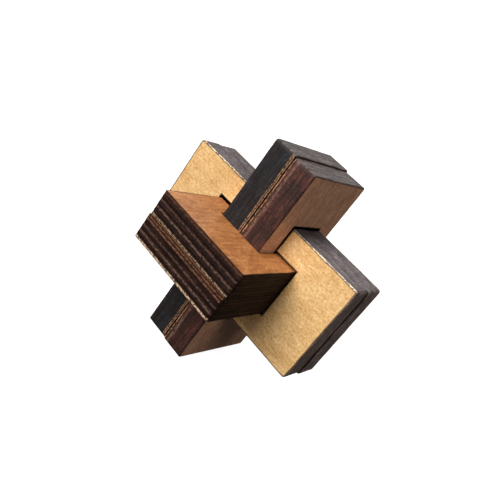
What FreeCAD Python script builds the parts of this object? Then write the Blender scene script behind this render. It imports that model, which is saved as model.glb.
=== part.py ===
"""Six-board burr puzzle: three flat beams cross at right angles, each a pair of plywood boards.

All six boards are cut to one profile. Each beam passes through the window in the middle of the
next one: the upright beam through the long beam's, the cross beam through the upright beam's, and
the long beam through the cross beam's. A mouth in one long edge leads into each window. The
neighbouring beam shuts it in, and it is what lets the boards shift and, in turn, come off.

Frame: millimetres, +Z up, the origin on the floor under the middle of the upright beam.
    long beam      length along Y, width along X, boards stacked along Z, mouths at -X
    upright beam   length along Z, width along Y, boards side by side along X, mouths at +Y
    cross beam     length along X, width along Z, boards one behind the other along Y, mouths at +Z
"""
import FreeCAD, Part
import os

# Driving dimensions
board_length = 78.0
board_width = 38.0
board_thickness = 9.0
seam_gap = 0.1  # air between the two boards of a beam
play = 0.5  # air on each side of a beam in its window
corner_radius = 1.2  # eased corners of the board's outline

# Worked out from them
half_beam = board_thickness + seam_gap / 2
centre_height = board_length / 2
window_length = board_width + 2 * play
window_width = 2 * (half_beam + play)
mouth_length = window_width

X_AXIS = FreeCAD.Vector(1, 0, 0)
Y_AXIS = FreeCAD.Vector(0, 1, 0)
Z_AXIS = FreeCAD.Vector(0, 0, 1)


def centred_box(length, width, thickness):
    """A box about the origin: length along X, width along Y, thickness along Z."""
    corner = FreeCAD.Vector(-length / 2, -width / 2, -thickness / 2)
    return Part.makeBox(length, width, thickness, corner)


def upright_edges(solid):
    """The edges that run through the board's thickness."""
    return [edge for edge in solid.Edges if abs(edge.tangentAt(edge.FirstParameter).z) > 0.99]


def make_board():
    """One board about the origin: length along X, width along Y, its mouth in the -Y edge."""
    blank = centred_box(board_length, board_width, board_thickness)
    blank = blank.makeFillet(corner_radius, upright_edges(blank))
    through = 2 * board_thickness
    window = centred_box(window_length, window_width, through)
    mouth = centred_box(mouth_length, board_width, through)
    mouth.translate(-Y_AXIS * (board_width / 2))
    return blank.cut([window, mouth])


def place(board, length_axis, width_axis, offset):
    """Turn a board so that its length and width lie along two axes, and move its middle by offset."""
    normal = length_axis.cross(width_axis)
    turn = FreeCAD.Matrix(
        length_axis.x, width_axis.x, normal.x, 0,
        length_axis.y, width_axis.y, normal.y, 0,
        length_axis.z, width_axis.z, normal.z, 0,
        0, 0, 0, 1,
    )
    placed = board.copy()
    placed.Placement = FreeCAD.Placement(turn)
    placed.translate(offset + Z_AXIS * centre_height)
    return placed


def board_places():
    """Each node's length axis, its width axis, which points away from the mouth, and its layer."""
    layer = (board_thickness + seam_gap) / 2
    return {
        "long_upper_board": (Y_AXIS, X_AXIS, Z_AXIS * layer),
        "long_lower_board": (Y_AXIS, X_AXIS, -Z_AXIS * layer),
        "upright_right_board": (Z_AXIS, -Y_AXIS, X_AXIS * layer),
        "upright_left_board": (Z_AXIS, -Y_AXIS, -X_AXIS * layer),
        "cross_front_board": (X_AXIS, -Z_AXIS, -Y_AXIS * layer),
        "cross_rear_board": (X_AXIS, -Z_AXIS, Y_AXIS * layer),
    }


def main():
    os.makedirs("parts", exist_ok=True)
    board = make_board()
    for node, (length_axis, width_axis, layer) in board_places().items():
        place(board, length_axis, width_axis, layer).exportStep(f"parts/{node}.step")


main()
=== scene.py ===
"""Looks of the six-board burr puzzle: laser-cut plywood boards, a white bowl, soft studio light."""

import math

import bmesh
import bpy
from mathutils import Matrix, Vector, noise


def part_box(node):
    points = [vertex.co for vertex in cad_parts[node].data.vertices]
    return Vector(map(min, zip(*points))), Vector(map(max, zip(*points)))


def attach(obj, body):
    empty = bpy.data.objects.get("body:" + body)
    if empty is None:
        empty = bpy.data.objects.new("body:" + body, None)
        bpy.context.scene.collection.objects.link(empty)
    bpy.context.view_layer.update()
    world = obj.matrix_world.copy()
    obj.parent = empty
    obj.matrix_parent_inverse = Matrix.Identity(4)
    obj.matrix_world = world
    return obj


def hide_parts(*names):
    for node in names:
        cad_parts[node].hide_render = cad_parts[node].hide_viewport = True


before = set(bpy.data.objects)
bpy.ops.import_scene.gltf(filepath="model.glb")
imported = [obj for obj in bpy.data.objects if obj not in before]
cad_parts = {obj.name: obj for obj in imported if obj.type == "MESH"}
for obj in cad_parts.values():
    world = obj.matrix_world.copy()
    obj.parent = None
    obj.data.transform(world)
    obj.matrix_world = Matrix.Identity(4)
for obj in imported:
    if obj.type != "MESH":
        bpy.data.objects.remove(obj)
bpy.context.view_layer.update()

MM = 0.001
LEFT_LOW, LEFT_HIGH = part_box("upright_left_board")
LENGTH = LEFT_HIGH.z - LEFT_LOW.z
WIDTH = LEFT_HIGH.y - LEFT_LOW.y
THICKNESS = LEFT_HIGH.x - LEFT_LOW.x
HALF_BEAM = -LEFT_LOW.x
CENTRE = Vector((0, 0, LENGTH / 2))

X_AXIS = Vector((1, 0, 0))
Y_AXIS = Vector((0, 1, 0))
Z_AXIS = Vector((0, 0, 1))

CORNER_RADIUS = 1.2 * MM

# Fine shape of a laser-cut edge
PLIES = 7
ARRIS = 0.30 * MM
WINDOW_ARRIS = 0.08 * MM
ARRIS_BEND = (0.35, 0.3)  # the bend in it, as shares of its height and of its depth
ARRIS_WEAR = 0.6  # the share by which its depth varies
WEAR_WAVES = 300  # per metre
GLUE_LINE_DEPTH = 0.10 * MM
GLUE_LINE_REACH = 0.12  # half its width, as a share of a ply
LIGHT_PLY_DEPTH = 0.05 * MM
LIGHT_PLY_CROWN = 0.6  # depth at its middle, as a share of that at its sides

# Unevenness that the laser leaves: depth, its three parts as shares of the depth, waves per metre,
# and how far apart two boards' noises lie
KERF_DEPTH = 0.10 * MM
KERF_MEAN = 0.4
KERF_WAVE = 0.5
KERF_ROUGH = 0.25
WAVES_ALONG = 260
WAVES_THROUGH = 160
ROUGH_WAVES = 700
WAVE_SEED = 17
ROUGH_SEED = 5

# Spacing of the mesh's points along the outline, and steps of each rounded corner
LOOP_STEP = 0.6 * MM
ARC_STEPS = 6

# Borders of the veneer that the laser scorched. With the arris and the kerf they have to stay
# under CORNER_RADIUS, or the veneer's outline crosses itself.
SEAM_SCORCH = 0.40 * MM
SEAM_FADE = 0.20 * MM
FACE_SCORCH = 0.50 * MM

# Material slots of a board
VENEER, END, SIDE, WINDOW = range(4)

# Linear colours of charred plies, and of the lighter wood between them
CHAR = (0.009, 0.004, 0.003)
BLUE_CHAR = (0.013, 0.014, 0.018)
UMBER = (0.020, 0.008, 0.005)
PLUM = (0.062, 0.017, 0.013)
SLATE = (0.046, 0.034, 0.035)
TAUPE = (0.084, 0.066, 0.062)
ASH = (0.135, 0.110, 0.108)
MOUSE = (0.115, 0.092, 0.095)
DOVE = (0.180, 0.150, 0.158)
DRAB = (0.130, 0.092, 0.078)
FAWN = (0.200, 0.148, 0.128)
BROWN = (0.080, 0.032, 0.018)
DUST = (0.075, 0.040, 0.034)
TAN = (0.130, 0.078, 0.060)
OCHRE = (0.135, 0.060, 0.032)
AMBER = (0.360, 0.180, 0.080)
CREAM = (0.290, 0.205, 0.140)
PALE = (0.560, 0.400, 0.270)
# Pale outer veneer at the arris, made brighter than the veneer's face: part bare wood, part painted
# highlight
BARE_AND_GLINT = (0.900, 0.740, 0.470)

# Two tones of each beam's veneer
HONEY = ((0.590, 0.258, 0.090), (0.375, 0.138, 0.040))
GOLD = ((0.790, 0.520, 0.240), (0.650, 0.390, 0.150))
# The upright beam's veneer: the cross beams' GOLD made darker and more mauve, painted shade
SHADED_GOLD = ((0.550, 0.300, 0.180), (0.410, 0.210, 0.120))

# Lines of lighter wood in a charred edge: height from the seam (0) to the outer face (1), half
# width, colour
LONG_UPPER_LINES = (
    (0.07, 0.045, CREAM), (0.36, 0.055, TAN), (0.64, 0.055, DUST), (0.93, 0.065, BROWN),
)
LONG_LOWER_LINES = (
    (0.05, 0.045, OCHRE), (0.16, 0.050, OCHRE), (0.42, 0.050, DUST), (0.68, 0.055, TAN),
    (0.94, 0.055, PALE),
)
LEFT_SIDE_LINES = ((0.045, 0.025, AMBER), (0.115, 0.025, AMBER), (0.97, 0.060, UMBER))
RIGHT_SIDE_LINES = ((0.05, 0.030, AMBER), (0.20, 0.080, TAN), (0.60, 0.080, UMBER))
PLY_LINES = ((0.22, 0.030, UMBER), (0.50, 0.035, UMBER), (0.78, 0.030, UMBER))
CROSS_END_LINES = ((0.22, 0.030, SLATE), (0.50, 0.035, SLATE), (0.93, 0.060, BROWN))
# The last line of the cross boards' long edges is that pale arris: part bare veneer, part painted
# highlight
CROSS_SIDE_LINES = (
    (0.22, 0.030, SLATE), (0.50, 0.035, SLATE), (0.78, 0.030, SLATE), (0.97, 0.050, BARE_AND_GLINT),
)

# Specular level of a cut edge
DULL = 0.1
SHEEN = 0.3

# Fine looks of the surfaces
LINE_WAVER = 0.04  # how far an edge's lines wander, as a share of the thickness
LINE_JITTER = 0.06  # the same, from one fibre to the next
LINE_CORE = 0.4  # the part of a line that has its full colour
RAMP_END = 0.001  # the least distance of a line's border from an end of its ramp
SHADE_WAVER = 8 * MM  # how far the border of the painted shade on the long edges wanders
EDGE_ROUGHNESS = 0.62
EDGE_BUMP = 0.10 * MM
VENEER_BUMP = 0.05 * MM
BUMP_STRENGTH = 0.5

# What keeps two surfaces from looking alike
SEED_SHIFT = (0.37, 0.61, 0.13)
SIDE_SEED = 10
WINDOW_SEED = 20

# Air between a window's edge and the beam in it
SNUG = 0.25 * MM
LOOSE = 0.50 * MM

# The bowl: a flat floor round a small hub, a quarter circle, a wall up to the rim
HUB_RADIUS = 0.0005
FLOOR_RADIUS = 0.5
CURVE_RADIUS = 1.0
CURVE_STEPS = 24
RIM_HEIGHT = 2.0
BOWL_SEGMENTS = 96
BOWL_WHITE = 0.5
BOWL_GLOW = 0.92

# Lamps: name, direction from the puzzle's middle, distance, size, watts, colour
LAMPS = (
    ("key", (-0.30, -0.80, 0.50), 1.0, 0.7, 15.2, (1.0, 0.97, 0.93)),
    ("back_panel", (-0.41, 0.84, 0.36), 0.6, 0.6, 1.0, (1.0, 1.0, 1.0)),
    ("right_fill", (0.70, -0.15, 0.70), 0.6, 0.4, 1.25, (1.0, 1.0, 1.0)),
)
SKY_COLOUR = (1.0, 0.94, 0.88)
SKY_STRENGTH = 0.065

# The camera: lens, sensor, nearest distance it sees, place, directions to its right and behind it
CAMERA_LENS = 42.08
CAMERA_SENSOR = 36.0
CAMERA_NEAR = 0.01
CAMERA_PLACE = (0.08068, -0.17071, 0.11119)
CAMERA_RIGHT = (0.6225, 0.54507, 0.56159)
CAMERA_BACK = (0.41041, -0.83836, 0.35878)


class Board:
    """How one board differs from the others."""

    def __init__(self, length, width, faces, ends, sides, cut_short=(0, 0), play=(SNUG, SNUG),
                 nudge=(0, 0, 0), relief=1.0, gloss=DULL, middle_shade=0.0, fibre=1.0):
        self.length = length  # direction of its length
        self.width = width  # direction of its width, away from the mouth
        self.faces = faces  # two tones of its veneer
        self.ends = ends  # two grounds and the lines of its short edges
        self.sides = sides  # the same of its long edges
        self.cut_short = cut_short  # what its two ends lack
        self.play = play  # air about the neighbouring beam, along the window and across it
        self.nudge = nudge  # where it rests in its play
        self.relief = relief  # how far its glue lines are burnt in
        self.gloss = gloss  # shine of its cut edges
        self.middle_shade = middle_shade  # painted shade: darkening of its long edges beside the mouth, where the beam in the mouth stands against them
        self.fibre = fibre  # how far fibres and flecks show in its veneer


# Each board's outer face looks along length x width
BOARDS = {
    "long_upper_board": Board(
        -Y_AXIS, X_AXIS, HONEY, (CHAR, UMBER, LONG_UPPER_LINES), (CHAR, UMBER, PLY_LINES),
        cut_short=(0.3 * MM, 0.5 * MM), play=(SNUG, LOOSE), nudge=(0, 0.2 * MM, -0.2 * MM),
        fibre=1.25,
    ),
    "long_lower_board": Board(
        Y_AXIS, X_AXIS, HONEY, (CHAR, UMBER, LONG_LOWER_LINES), (CHAR, UMBER, PLY_LINES),
        play=(SNUG, LOOSE), nudge=(0, 0, -0.2 * MM), fibre=1.25,
    ),
    # The upright's boards take the darkened copy of GOLD: painted shade
    "upright_right_board": Board(
        Z_AXIS, -Y_AXIS, SHADED_GOLD, (ASH, TAUPE, PLY_LINES), (PLUM, UMBER, RIGHT_SIDE_LINES),
        cut_short=(0, 0.7 * MM), play=(LOOSE, SNUG), relief=0.3, gloss=SHEEN,
    ),
    "upright_left_board": Board(
        -Z_AXIS, -Y_AXIS, SHADED_GOLD, (ASH, TAUPE, PLY_LINES), (BLUE_CHAR, CHAR, LEFT_SIDE_LINES),
        cut_short=(0, 0.4 * MM), relief=0.3, gloss=SHEEN,
    ),
    "cross_front_board": Board(
        -X_AXIS, -Z_AXIS, GOLD, (FAWN, DRAB, CROSS_END_LINES), (DOVE, MOUSE, CROSS_SIDE_LINES),
        cut_short=(0.35 * MM, 0.25 * MM), play=(LOOSE, LOOSE), nudge=(-0.25 * MM, -0.2 * MM, 0),
        relief=0.6, gloss=SHEEN, middle_shade=0.7, fibre=0.6,
    ),
    "cross_rear_board": Board(
        X_AXIS, -Z_AXIS, GOLD, (FAWN, DRAB, CROSS_END_LINES), (DOVE, MOUSE, CROSS_SIDE_LINES),
        cut_short=(0.6 * MM, 0), play=(LOOSE, LOOSE), relief=0.6, gloss=SHEEN, middle_shade=0.7,
        fibre=0.6,
    ),
}


# ---------------------------------------------------------------- board mesh

def board_corners(board):
    """A board's outline, anticlockwise, as (x, y, radius, arris). The mouth opens in the -Y edge."""
    start, end = board.cut_short[0] - LENGTH / 2, LENGTH / 2 - board.cut_short[1]
    width = WIDTH / 2
    reach, half = width + board.play[0], HALF_BEAM + board.play[1]
    return [
        (start, -width, CORNER_RADIUS, ARRIS),
        (-half, -width, 0, ARRIS),
        (-half, -half, 0, WINDOW_ARRIS),
        (-reach, -half, 0, WINDOW_ARRIS),
        (-reach, half, 0, WINDOW_ARRIS),
        (reach, half, 0, WINDOW_ARRIS),
        (reach, -half, 0, WINDOW_ARRIS),
        (half, -half, 0, WINDOW_ARRIS),
        (half, -width, 0, ARRIS),
        (end, -width, CORNER_RADIUS, ARRIS),
        (end, width, CORNER_RADIUS, ARRIS),
        (start, width, CORNER_RADIUS, ARRIS),
    ]


def outline(corners):
    """Evenly spaced points of the outline: place, step that moves it outwards by one, arris."""
    arcs = []
    for i, (x, y, radius, arris) in enumerate(corners):
        here = Vector((x, y))
        into = (here - Vector(corners[i - 1][:2])).normalized()
        out = (Vector(corners[(i + 1) % len(corners)][:2]) - here).normalized()
        normal_in = Vector((into.y, -into.x))
        normal_out = Vector((out.y, -out.x))
        if radius:
            centre = here - into * radius + out * radius
            angles = [math.pi / 2 * k / ARC_STEPS for k in range(ARC_STEPS + 1)]
            normals = [normal_in * math.cos(angle) + normal_out * math.sin(angle) for angle in angles]
            arcs.append([(centre + normal * radius, normal, arris) for normal in normals])
        else:
            arcs.append([(here, normal_in + normal_out, arris)])
    points = []
    for arc, next_arc in zip(arcs, arcs[1:] + arcs[:1]):
        points += arc
        (leave, step_out, arris_out), (arrive, step_in, arris_in) = arc[-1], next_arc[0]
        divisions = max(1, round((arrive - leave).length / LOOP_STEP))
        for k in range(1, divisions):
            share = k / divisions
            arris = arris_out + (arris_in - arris_out) * share
            points.append((leave.lerp(arrive, share), step_out.lerp(step_in, share), arris))
    return points


def edge_levels(relief):
    """Steps through the thickness: height, share of the arris, depth inside the outline."""
    half = THICKNESS / 2
    ply = THICKNESS / PLIES
    bend, eased = ARRIS * ARRIS_BEND[0], ARRIS_BEND[1]
    levels = [(-half, 1.0, 0.0), (-half + bend, eased, 0.0), (-half + ARRIS, 0.0, 0.0)]
    for i in range(PLIES):
        low = -half + i * ply
        depth = LIGHT_PLY_DEPTH * relief if i % 2 == 0 else 0.0
        if i:
            levels.append((low, 0.0, GLUE_LINE_DEPTH * relief))
            levels.append((low + ply * GLUE_LINE_REACH, 0.0, depth))
        levels.append((low + ply / 2, 0.0, depth * LIGHT_PLY_CROWN))
        if i < PLIES - 1:
            levels.append((low + ply * (1 - GLUE_LINE_REACH), 0.0, depth))
    levels += [(half - ARRIS, 0.0, 0.0), (half - bend, eased, 0.0), (half, 1.0, 0.0)]
    return levels


def kerf(point, height, seed):
    """Depth of the burnt surface's fine unevenness at a point of the cut edge, never negative."""
    wave = Vector((*(point * WAVES_ALONG), height * WAVES_THROUGH + seed * WAVE_SEED))
    rough = Vector((*(point * ROUGH_WAVES), height * ROUGH_WAVES + seed * ROUGH_SEED))
    share = KERF_MEAN + KERF_WAVE * noise.noise(wave) + KERF_ROUGH * noise.noise(rough)
    return max(0.0, KERF_DEPTH * share)


def edge_slot(start, end):
    """Material slot of the cut edge between two points of the outline."""
    middle = (start[0] + end[0]) / 2
    normal = start[1] + end[1]
    within_length = abs(middle.x) < LENGTH / 2 - 2 * CORNER_RADIUS
    within_width = abs(middle.y) < WIDTH / 2 - CORNER_RADIUS
    if within_length and within_width:
        return WINDOW
    return END if abs(normal.x) > abs(normal.y) else SIDE


def board_mesh(name, seed, board):
    """One board about the origin: length along X, width along Y, its outer face at +Z."""
    points = outline(board_corners(board))
    half = THICKNESS / 2
    # Height, share of the arris, depth inside the outline, scorch
    levels = [(-half, 1.0, SEAM_SCORCH + SEAM_FADE, 0.0), (-half, 1.0, SEAM_SCORCH, 1.0)]
    levels += [(*level, 1.0) for level in edge_levels(board.relief)]
    levels += [(half, 1.0, FACE_SCORCH, 0.0)]
    bm = bmesh.new()
    scorch = bm.verts.layers.float.new("scorch")
    rings = []
    for height, eased, depth, burnt in levels:
        ring = []
        for point, step, arris in points:
            wear = ARRIS_WEAR * noise.noise(Vector((*point, seed * MM)) * WEAR_WAVES)
            inward = eased * arris * (1 + wear)
            place = point - step * (inward + depth + kerf(point, height, seed))
            vert = bm.verts.new((place.x, place.y, height))
            vert[scorch] = burnt
            ring.append(vert)
        rings.append(ring)
    count = len(points)
    for level, (lower, upper) in enumerate(zip(rings, rings[1:])):
        # Two strips of the seam face's border and one of the outer face's are veneer
        on_face = level in (0, 1, len(rings) - 2)
        for i in range(count):
            j = (i + 1) % count
            face = bm.faces.new((lower[i], lower[j], upper[j], upper[i]))
            face.material_index = VENEER if on_face else edge_slot(points[i], points[j])
            face.smooth = not on_face
    caps = [bm.faces.new(ring) for ring in (rings[0][::-1], rings[-1])]
    bm.normal_update()
    bmesh.ops.triangulate(bm, faces=caps)
    mesh = bpy.data.meshes.new(name)
    bm.to_mesh(mesh)
    bm.free()
    return mesh


def board_matrix(board):
    """From the board's own axes to its place in the puzzle."""
    outwards = board.length.cross(board.width)
    turn = Matrix((board.length, board.width, outwards)).transposed().to_4x4()
    middle = CENTRE + outwards * (HALF_BEAM - THICKNESS / 2) + Vector(board.nudge)
    return Matrix.Translation(middle) @ turn


# ---------------------------------------------------------------- materials

class Nodes:
    """A short way to write a material's node tree."""

    def __init__(self, name):
        self.material = bpy.data.materials.new(name)
        self.material.use_nodes = True
        self.tree = self.material.node_tree
        self.shader = self.tree.nodes["Principled BSDF"]

    def add(self, kind, **values):
        node = self.tree.nodes.new(kind)
        for key, value in values.items():
            setattr(node, key, value)
        return node

    def feed(self, socket, value):
        if hasattr(value, "is_output"):
            self.tree.links.new(value, socket)
        else:
            socket.default_value = value

    def math(self, operation, a, b=0.0, c=0.0):
        node = self.add("ShaderNodeMath", operation=operation)
        for socket, value in zip(node.inputs, (a, b, c)):
            self.feed(socket, value)
        return node.outputs[0]

    def mapping(self, vector, location=(0, 0, 0), scale=(1, 1, 1)):
        node = self.add("ShaderNodeMapping")
        self.feed(node.inputs["Vector"], vector)
        node.inputs["Location"].default_value = location
        node.inputs["Scale"].default_value = scale
        return node.outputs[0]

    def noise(self, vector, waves, detail, roughness=0.55, distortion=0.0):
        """Noise with its own number of waves per metre along each axis."""
        stretched = self.mapping(vector, scale=waves)
        node = self.add("ShaderNodeTexNoise")
        self.feed(node.inputs["Vector"], stretched)
        node.inputs["Scale"].default_value = 1.0
        node.inputs["Detail"].default_value = detail
        node.inputs["Roughness"].default_value = roughness
        node.inputs["Distortion"].default_value = distortion
        return node.outputs["Fac"]

    def ramp(self, factor, stops):
        node = self.add("ShaderNodeValToRGB")
        self.feed(node.inputs["Fac"], factor)
        ramp = node.color_ramp
        while len(ramp.elements) > 1:
            ramp.elements.remove(ramp.elements[-1])
        ramp.elements[0].position, ramp.elements[0].color = stops[0][0], (*stops[0][1], 1)
        for position, colour in stops[1:]:
            ramp.elements.new(position).color = (*colour, 1)
        return node.outputs["Color"]

    def mix(self, factor, a, b, blend="MIX"):
        node = self.add("ShaderNodeMix", data_type="RGBA", blend_type=blend)
        self.feed(node.inputs[0], factor)
        self.feed(node.inputs[6], a if hasattr(a, "is_output") else (*a, 1))
        self.feed(node.inputs[7], b if hasattr(b, "is_output") else (*b, 1))
        return node.outputs[2]

    def bump(self, height, distance):
        node = self.add("ShaderNodeBump")
        self.feed(node.inputs["Height"], height)
        node.inputs["Distance"].default_value = distance
        node.inputs["Strength"].default_value = BUMP_STRENGTH
        return node.outputs["Normal"]


def grey(value):
    return (value, value, value)


def own_place(n, seed):
    """The board's own coordinates, and the same moved so that no two boards look alike."""
    place = n.add("ShaderNodeTexCoord").outputs["Object"]
    return place, n.mapping(place, location=[seed * shift for shift in SEED_SHIFT])


def veneer(name, seed, colours, fibre):
    """The face veneer: birch with fibres along X, a mottled figure, dark flecks, scorched borders."""
    n = Nodes(name)
    _, shifted = own_place(n, seed)
    fibres = n.noise(shifted, (130, 1300, 130), 4.0, 0.6, 0.4)
    figure = n.noise(shifted, (180, 260, 180), 4.0, 0.65, 0.6)
    speckle = n.noise(shifted, (1250, 1450, 1250), 4.0, 0.75, 0.3)
    flecks = n.noise(shifted, (420, 2400, 420), 2.0, 0.5)
    spread = n.ramp(figure, [(0.34, grey(0)), (0.66, grey(1))])
    colour = n.mix(spread, colours[0], colours[1])
    dark_fibre, light_fibre = (0.76, 0.66, 0.54), (1.16, 1.22, 1.30)
    dark_speck, light_speck = (0.78, 0.60, 0.42), (1.16, 1.26, 1.42)
    dark_fleck = (0.55, 0.40, 0.28)
    for share, source, stops in (
        (0.8 * fibre, fibres, [(0.32, dark_fibre), (0.50, grey(1.0)), (0.68, light_fibre)]),
        (1.0, speckle, [(0.34, dark_speck), (0.50, grey(1.0)), (0.66, light_speck)]),
        (0.7 * fibre, flecks, [(0.30, dark_fleck), (0.40, grey(1.0))]),
    ):
        colour = n.mix(share, colour, n.ramp(source, stops), "MULTIPLY")
    burnt = n.add("ShaderNodeAttribute", attribute_name="scorch").outputs["Fac"]
    border = n.math("POWER", burnt, 2.0)
    ragged = n.math("MULTIPLY", border, n.math("MULTIPLY_ADD", speckle, 1.6, 0.4))
    colour = n.mix(n.math("MINIMUM", ragged, 1.0), colour, UMBER)
    n.feed(n.shader.inputs["Base Color"], colour)
    n.feed(n.shader.inputs["Roughness"], n.ramp(fibres, [(0.3, grey(0.56)), (0.7, grey(0.44))]))
    n.feed(n.shader.inputs["Normal"], n.bump(n.math("ADD", fibres, speckle), VENEER_BUMP))
    return n.material


def line_stops(lines):
    """Colour stops of thin soft-edged lines on black."""
    black = (0, 0, 0)
    stops = [(0.0, black)]
    for height, reach, colour in lines:
        stops.append((max(RAMP_END, height - reach), black))
        stops.append((height - reach * LINE_CORE, colour))
        stops.append((height + reach * LINE_CORE, colour))
        stops.append((min(1 - RAMP_END, height + reach), black))
    return stops


def burnt_edge(name, seed, ground, lighter_ground, lines, gloss, middle_shade=0.0):
    """A laser-cut edge: charred plies with broken lines of lighter wood between them."""
    n = Nodes(name)
    place, shifted = own_place(n, seed)
    separate = n.add("ShaderNodeSeparateXYZ")
    n.feed(separate.inputs[0], place)
    waver = n.noise(shifted, (130, 130, 130), 3.0)
    level = n.math("MULTIPLY_ADD", separate.outputs[2], 1 / THICKNESS, 0.5)
    level = n.math("ADD", level, n.math("MULTIPLY_ADD", waver, LINE_WAVER, -LINE_WAVER / 2))
    jitter = n.noise(shifted, (1100, 1100, 300), 2.0)
    level = n.math("ADD", level, n.math("MULTIPLY_ADD", jitter, LINE_JITTER, -LINE_JITTER / 2))
    patches = n.noise(shifted, (170, 170, 380), 4.0, 0.65)
    streaks = n.noise(shifted, (90, 90, 2500), 3.0, 0.6)
    striae = n.noise(shifted, (2100, 2100, 420), 3.0, 0.6)
    grain = n.noise(shifted, (1300, 1300, 1900), 3.0, 0.7)
    colour = n.mix(n.ramp(patches, [(0.36, grey(0)), (0.64, grey(1))]), ground, lighter_ground)
    for share, source, stops in (
        (0.9, streaks, [(0.34, grey(0.35)), (0.50, grey(0.90)), (0.67, grey(1.9))]),
        (0.7, striae, [(0.34, grey(0.60)), (0.50, grey(0.95)), (0.68, grey(1.4))]),
        (0.9, grain, [(0.32, grey(0.40)), (0.50, grey(0.90)), (0.70, grey(1.9))]),
    ):
        colour = n.mix(share, colour, n.ramp(source, stops), "MULTIPLY")
    dashes = n.noise(shifted, (1050, 1050, 1700), 4.0, 0.8)
    broken = n.ramp(dashes, [(0.43, grey(0.03)), (0.50, grey(0.75)), (0.60, grey(3.4))])
    dimmed = n.ramp(patches, [(0.34, grey(0.55)), (0.58, grey(1.0))])
    shown = n.math("MULTIPLY", broken, dimmed)
    colour = n.mix(shown, colour, n.ramp(level, line_stops(lines)), "ADD")
    # Painted shade: the long edges darken towards the middle, beside the mouth and the beam that
    # stands in it
    if middle_shade:
        along = n.math("ABSOLUTE", separate.outputs[0])
        along = n.math("ADD", along, n.math("MULTIPLY_ADD", waver, SHADE_WAVER, -SHADE_WAVER / 2))
        share = n.math("MULTIPLY", along, 2 / LENGTH)
        away = n.ramp(share, [(0.32, grey(1 - middle_shade)), (0.50, grey(1))])
        colour = n.mix(1.0, colour, away, "MULTIPLY")
    n.feed(n.shader.inputs["Base Color"], colour)
    n.shader.inputs["Roughness"].default_value = EDGE_ROUGHNESS
    n.shader.inputs["Specular IOR Level"].default_value = gloss
    n.feed(n.shader.inputs["Normal"], n.bump(n.math("ADD", striae, grain), EDGE_BUMP))
    return n.material


# ---------------------------------------------------------------- boards

def make_boards():
    """The detailed boards, each in the place of its CAD body."""
    for seed, (node, board) in enumerate(BOARDS.items(), start=1):
        mesh = board_mesh(node + "_shape", seed, board)
        piece = bpy.data.objects.new(node + "_shape", mesh)
        bpy.context.scene.collection.objects.link(piece)
        piece.matrix_world = board_matrix(board)
        for material in (
            veneer(node + "_veneer", seed, board.faces, board.fibre),
            burnt_edge(node + "_end", seed, *board.ends, board.gloss),
            burnt_edge(node + "_side", seed + SIDE_SEED, *board.sides, board.gloss, board.middle_shade),
            burnt_edge(node + "_window", seed + WINDOW_SEED, CHAR, UMBER, PLY_LINES, DULL),
        ):
            mesh.materials.append(material)
        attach(piece, node)
        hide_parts(node)


# ---------------------------------------------------------------- stage, light, camera

def make_stage():
    """A white floor that curves up into a wide bowl, so that no horizon shows."""
    bm = bmesh.new()
    rings = []
    profile = [(HUB_RADIUS, 0.0), (FLOOR_RADIUS, 0.0)]
    for k in range(1, CURVE_STEPS + 1):
        angle = math.pi / 2 * k / CURVE_STEPS
        run, rise = math.sin(angle), 1 - math.cos(angle)
        profile.append((FLOOR_RADIUS + CURVE_RADIUS * run, CURVE_RADIUS * rise))
    profile.append((FLOOR_RADIUS + CURVE_RADIUS, RIM_HEIGHT))
    for radius, height in profile:
        ring = []
        for i in range(BOWL_SEGMENTS):
            turn = 2 * math.pi * i / BOWL_SEGMENTS
            ring.append(bm.verts.new((radius * math.cos(turn), radius * math.sin(turn), height)))
        rings.append(ring)
    for lower, upper in zip(rings, rings[1:]):
        for i in range(BOWL_SEGMENTS):
            j = (i + 1) % BOWL_SEGMENTS
            bm.faces.new((lower[i], lower[j], upper[j], upper[i])).smooth = True
    bm.faces.new(rings[0])
    mesh = bpy.data.meshes.new("bowl")
    bm.to_mesh(mesh)
    bm.free()
    bowl = bpy.data.objects.new("bowl", mesh)
    bpy.context.scene.collection.objects.link(bowl)
    material = bpy.data.materials.new("bowl_white")
    material.use_nodes = True
    shader = material.node_tree.nodes["Principled BSDF"]
    shader.inputs["Base Color"].default_value = (*grey(BOWL_WHITE), 1)
    shader.inputs["Roughness"].default_value = 1.0
    shader.inputs["Emission Color"].default_value = (1, 1, 1, 1)
    shader.inputs["Emission Strength"].default_value = BOWL_GLOW
    mesh.materials.append(material)
    bowl.visible_diffuse = False
    bowl.visible_glossy = False
    bowl.visible_shadow = False


def add_area_light(name, direction, distance, size, power, colour):
    """A square lamp that shines at the puzzle's middle from one direction."""
    light = bpy.data.lights.new(name, "AREA")
    light.shape = "SQUARE"
    light.size = size
    light.energy = power
    light.color = colour
    lamp = bpy.data.objects.new(name, light)
    bpy.context.scene.collection.objects.link(lamp)
    aim = Vector(direction).normalized()
    lamp.location = CENTRE + aim * distance
    lamp.rotation_euler = aim.to_track_quat("Z", "Y").to_euler()
    lamp.visible_camera = False


def make_lights():
    """The lamps and a dim, warm sky."""
    world = bpy.data.worlds.new("studio")
    bpy.context.scene.world = world
    world.use_nodes = True
    background = world.node_tree.nodes["Background"]
    background.inputs["Color"].default_value = (*SKY_COLOUR, 1)
    background.inputs["Strength"].default_value = SKY_STRENGTH
    for lamp in LAMPS:
        add_area_light(*lamp)


def make_camera():
    """A camera that sees the puzzle as in the photograph."""
    data = bpy.data.cameras.new("camera")
    data.lens = CAMERA_LENS
    data.sensor_width = CAMERA_SENSOR
    data.clip_start = CAMERA_NEAR
    camera = bpy.data.objects.new("camera", data)
    bpy.context.scene.collection.objects.link(camera)
    right = Vector(CAMERA_RIGHT).normalized()
    up = Vector(CAMERA_BACK).cross(right).normalized()
    back = right.cross(up)
    turn = Matrix((right, up, back)).transposed().to_4x4()
    camera.matrix_world = Matrix.Translation(CAMERA_PLACE) @ turn
    bpy.context.scene.camera = camera


make_camera()
make_boards()
make_stage()
make_lights()
bpy.context.scene.view_settings.view_transform = "Standard"
